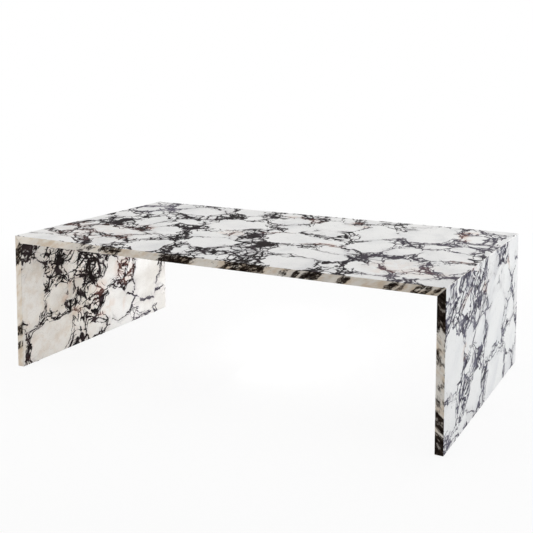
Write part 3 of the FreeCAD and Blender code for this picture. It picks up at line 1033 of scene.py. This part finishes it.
dress(top, marble(
    "marble_top", TOP_LAYOUT, TOP_SHADES, axes=("X", "Y", "Z"), face=table_height,
    dip=-1.1, block=0, lean=-70, stretch=(0.66, 1.12, 1), breakage=1.2, weight=1.65, bite=26 * MM,
))
dress(right_leg, marble(
    "marble_right_leg", RIGHT_LAYOUT, RIGHT_SHADES, axes=("Y", "Z", "X"), face=half_length,
    dip=0.8, block=3, lean=32, stretch=(0.55, 1.4, 1), breakage=0.7, weight=1.2, bite=26 * MM,
))
dress(left_leg, marble(
    "marble_left_leg", LEFT_LAYOUT, LEFT_SHADES, axes=("Y", "Z", "X"), face=slab_thickness - half_length,
    dip=-0.8, block=7, lean=12, stretch=(0.6, 0.95, 1), breakage=0.6, weight=1.4, bite=14 * MM,
))

# %% [markdown]
# Adhesive, steel, resin and felt
#
# The other pieces are seen only as a thin line in a mitre, as strips under the top or as dots under the
# legs. All of them are speckled at a small scale, so one group gives each its two colours, its two
# degrees of polish and its relief. Stretching its grain turns speckle into the drawn lines of a bar.

# %% The fine grain group
GRAIN_STEP = (0.35, 0.65)


def fine_grain_group():
    """Two colours, two degrees of polish and a relief, mixed by one fine noise."""
    group, given, results = new_group(
        "fine_grain",
        {
            "Place": VECTOR, "Scale": VALUE, "Light": COLOUR, "Shade": COLOUR,
            "Smooth": VALUE, "Rough": VALUE,
        },
        {"Color": COLOUR, "Roughness": VALUE, "Height": VALUE},
    )
    grain = cloud(group, given["Place"], given["Scale"], roughness=0.6)
    mask = step(group, grain, *GRAIN_STEP)
    wire(group, blend(group, mask, given["Light"], given["Shade"]), results["Color"])
    spread = maths(group, "SUBTRACT", given["Rough"], given["Smooth"])
    wire(group, scaled(group, mask, spread, given["Smooth"]), results["Roughness"])
    wire(group, grain, results["Height"])
    return group


fine_grain = fine_grain_group()


def plain_finish(name, scale, light, shade, smooth, rough, depth, stretch=(1, 1, 1), metal=0.0):
    """A speckled or drawn finish of one stuff."""
    material, tree, shader, coordinates = new_material(name)
    place = vectors(tree, "MULTIPLY", coordinates["Object"], stretch)
    grain = place_group(
        tree, fine_grain, Place=place, Scale=scale, Light=light, Shade=shade, Smooth=smooth, Rough=rough)
    wire(tree, grain["Color"], shader["Base Color"])
    wire(tree, grain["Roughness"], shader["Roughness"])
    relief(tree, grain["Height"], depth, shader["Normal"])
    shader["Metallic"].default_value = metal
    return material


# %% The finishes of the small pieces
ALONG_TABLE = (0.03, 1, 1)

epoxy = plain_finish(
    "tinted_epoxy", scale=600, light=(0.74, 0.71, 0.66, 1), shade=(0.62, 0.58, 0.52, 1),
    smooth=0.30, rough=0.42, depth=0.02 * MM,
)
steel = plain_finish(
    "drawn_stainless", scale=900, light=(0.62, 0.62, 0.63, 1), shade=(0.50, 0.50, 0.51, 1),
    smooth=0.22, rough=0.38, depth=0.02 * MM, stretch=ALONG_TABLE, metal=1.0,
)
resin = plain_finish(
    "slot_resin", scale=420, light=(0.62, 0.58, 0.50, 1), shade=(0.52, 0.47, 0.39, 1),
    smooth=0.55, rough=0.75, depth=0.05 * MM,
)
felt = plain_finish(
    "pressed_felt", scale=1400, light=(0.24, 0.23, 0.22, 1), shade=(0.13, 0.12, 0.115, 1),
    smooth=0.85, rough=0.95, depth=0.3 * MM,
)

for side in ("left", "right"):
    dress(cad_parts[side + "_mitre_epoxy"], epoxy)
    dress(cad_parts[side + "_mitre_dowels"], steel)
    dress(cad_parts[side + "_leg_pads"], felt)
dress(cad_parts["underside_rods"], steel)
dress(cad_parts["rod_slot_resin"], resin)

# %% [markdown]
# The studio
#
# The table stands in a pale studio with no horizon. The floor catches the soft shadow and mixes it with an
# even white that only the camera and reflections see, so that the ground stays white without flooding the
# stone with light. Away from the table the share of that white rises until no edge of the floor shows.

# %% Floor
FLOOR_REACH = 40
WHITE = (1, 1, 1, 1)
FLOOR_PAINT = (0.82, 0.82, 0.82, 1)
SHADOW_GLOW = 0.9
SHADOW_REACH = 0.9
WHITE_REACH = 2.4


def seen_directly(tree):
    """1 where the camera, a reflection or glass looks, and 0 for light that falls on things."""
    rays = tree.nodes.new("ShaderNodeLightPath").outputs
    eye = maths(tree, "MAXIMUM", rays["Is Camera Ray"], rays["Is Glossy Ray"])
    return maths(tree, "MAXIMUM", eye, rays["Is Transmission Ray"])


def mix_shaders(tree, share, first, second, surface):
    """Joins two shaders by a share and hands them to the surface."""
    mix = tree.nodes.new("ShaderNodeMixShader")
    wire(tree, share, mix.inputs["Fac"])
    wire(tree, first.outputs[0], mix.inputs[1])
    wire(tree, second.outputs[0], mix.inputs[2])
    wire(tree, mix.outputs[0], surface)


bpy.ops.mesh.primitive_plane_add(size=FLOOR_REACH)
floor = bpy.context.object
floor.name = "studio_floor"
floor_finish = bpy.data.materials.new("studio_floor")
floor_finish.use_nodes = True
tree = floor_finish.node_tree
tree.nodes.clear()
paint = tree.nodes.new("ShaderNodeBsdfDiffuse")
paint.inputs["Color"].default_value = FLOOR_PAINT
glow = tree.nodes.new("ShaderNodeEmission")
glow.inputs["Color"].default_value = WHITE
ground_place = tree.nodes.new("ShaderNodeTexCoord").outputs["Object"]
away = step(tree, vectors(tree, "LENGTH", ground_place), SHADOW_REACH, WHITE_REACH)
share = scaled(tree, away, 1 - SHADOW_GLOW, SHADOW_GLOW)
share = times(tree, share, seen_directly(tree))
mix_shaders(tree, share, paint, glow, tree.nodes.new("ShaderNodeOutputMaterial").inputs["Surface"])
floor.data.materials.append(floor_finish)
print("floor", FLOOR_REACH, "m square, white beyond", WHITE_REACH, "m")

# %% The air around it
FILL_LIGHT = 0.27

world = bpy.data.worlds.new("studio_air")
scene.world = world
world.use_nodes = True
tree = world.node_tree
tree.nodes.clear()
fill = tree.nodes.new("ShaderNodeBackground")
fill.inputs["Color"].default_value = WHITE
fill.inputs["Strength"].default_value = FILL_LIGHT
backdrop = tree.nodes.new("ShaderNodeBackground")
backdrop.inputs["Color"].default_value = WHITE
way_out = tree.nodes.new("ShaderNodeOutputWorld")
mix_shaders(tree, seen_directly(tree), fill, backdrop, way_out.inputs["Surface"])
scene.view_settings.view_transform = "Standard"
print("fill light", FILL_LIGHT, "of the white that the camera sees")

# %% [markdown]
# Lamps
#
# A broad box hangs above the table and a window stands to its right, with a weaker one behind it. The
# space under the top would be gloomy, so two small panels hide there and light the inner faces of the legs,
# more at the back than at the front. A card at the front left lifts the sawn edges.

# %% The lamps
NEUTRAL = (1, 1, 1)
COOL = (0.96, 0.98, 1)
WARM = (1, 0.98, 0.95)
PANEL = (0.4, 0.28)


def softbox(name, place, aim, size, power, colour):
    """A rectangular lamp of so many watts that looks at a point."""
    lamp = bpy.data.lights.new(name, "AREA")
    lamp.shape = "RECTANGLE"
    lamp.size, lamp.size_y = size
    lamp.energy = power
    lamp.color = colour
    stand = bpy.data.objects.new(name, lamp)
    stand.location = place
    stand.rotation_euler = (Vector(aim) - Vector(place)).to_track_quat("-Z", "Y").to_euler()
    stand.visible_camera = False
    scene.collection.objects.link(stand)
    print(name, power, "W")


softbox("overhead_box", (0.1, 0.3, 2.6), (0, 0, 0.36), (3.0, 3.0), 39.5, NEUTRAL)
softbox("right_window", (3.2, 0.0, 1.0), (0.4, 0, 0.25), (2.6, 1.8), 36, COOL)
softbox("back_window", (0.9, 2.4, 0.75), (-0.6, 0.1, 0.17), (1.6, 1.2), 25, NEUTRAL)
softbox("left_panel", (0.05, 0.24, 0.17), (-0.6, 0.24, 0.17), PANEL, 1.7, NEUTRAL)
softbox("right_panel", (-0.05, 0.1, 0.17), (0.6, 0.1, 0.17), PANEL, 1.5, NEUTRAL)
softbox("front_card", (-1.7, -1.4, 0.9), (-0.6, -0.34, 0.34), (0.8, 0.8), 14, WARM)

# %% [markdown]
# The camera
#
# The camera looks at the table from its front right, a little above it. It is hardly tilted. Its lens is
# shifted down instead, as on an architect's camera, so that upright edges stay nearly upright.

# %% The camera
IMAGE_WIDTH = 36
CAMERA_PLACE = (1.1157, -2.0932, 0.8242)
CAMERA_YAW = 0.4920
CAMERA_TILT = 0.0885
LENS = 59.3
LENS_SHIFT = -0.23

camera = bpy.data.objects.new("camera", bpy.data.cameras.new("camera"))
camera.location = CAMERA_PLACE
camera.rotation_euler = (math.pi / 2 - CAMERA_TILT, 0, CAMERA_YAW)
camera.data.sensor_width = IMAGE_WIDTH
camera.data.lens = LENS
camera.data.shift_y = LENS_SHIFT
scene.collection.objects.link(camera)
scene.camera = camera
distance = (Vector(CAMERA_PLACE) - Vector((0, 0, table_height / 2))).length
print("camera", round(distance, 2), "m from the table")
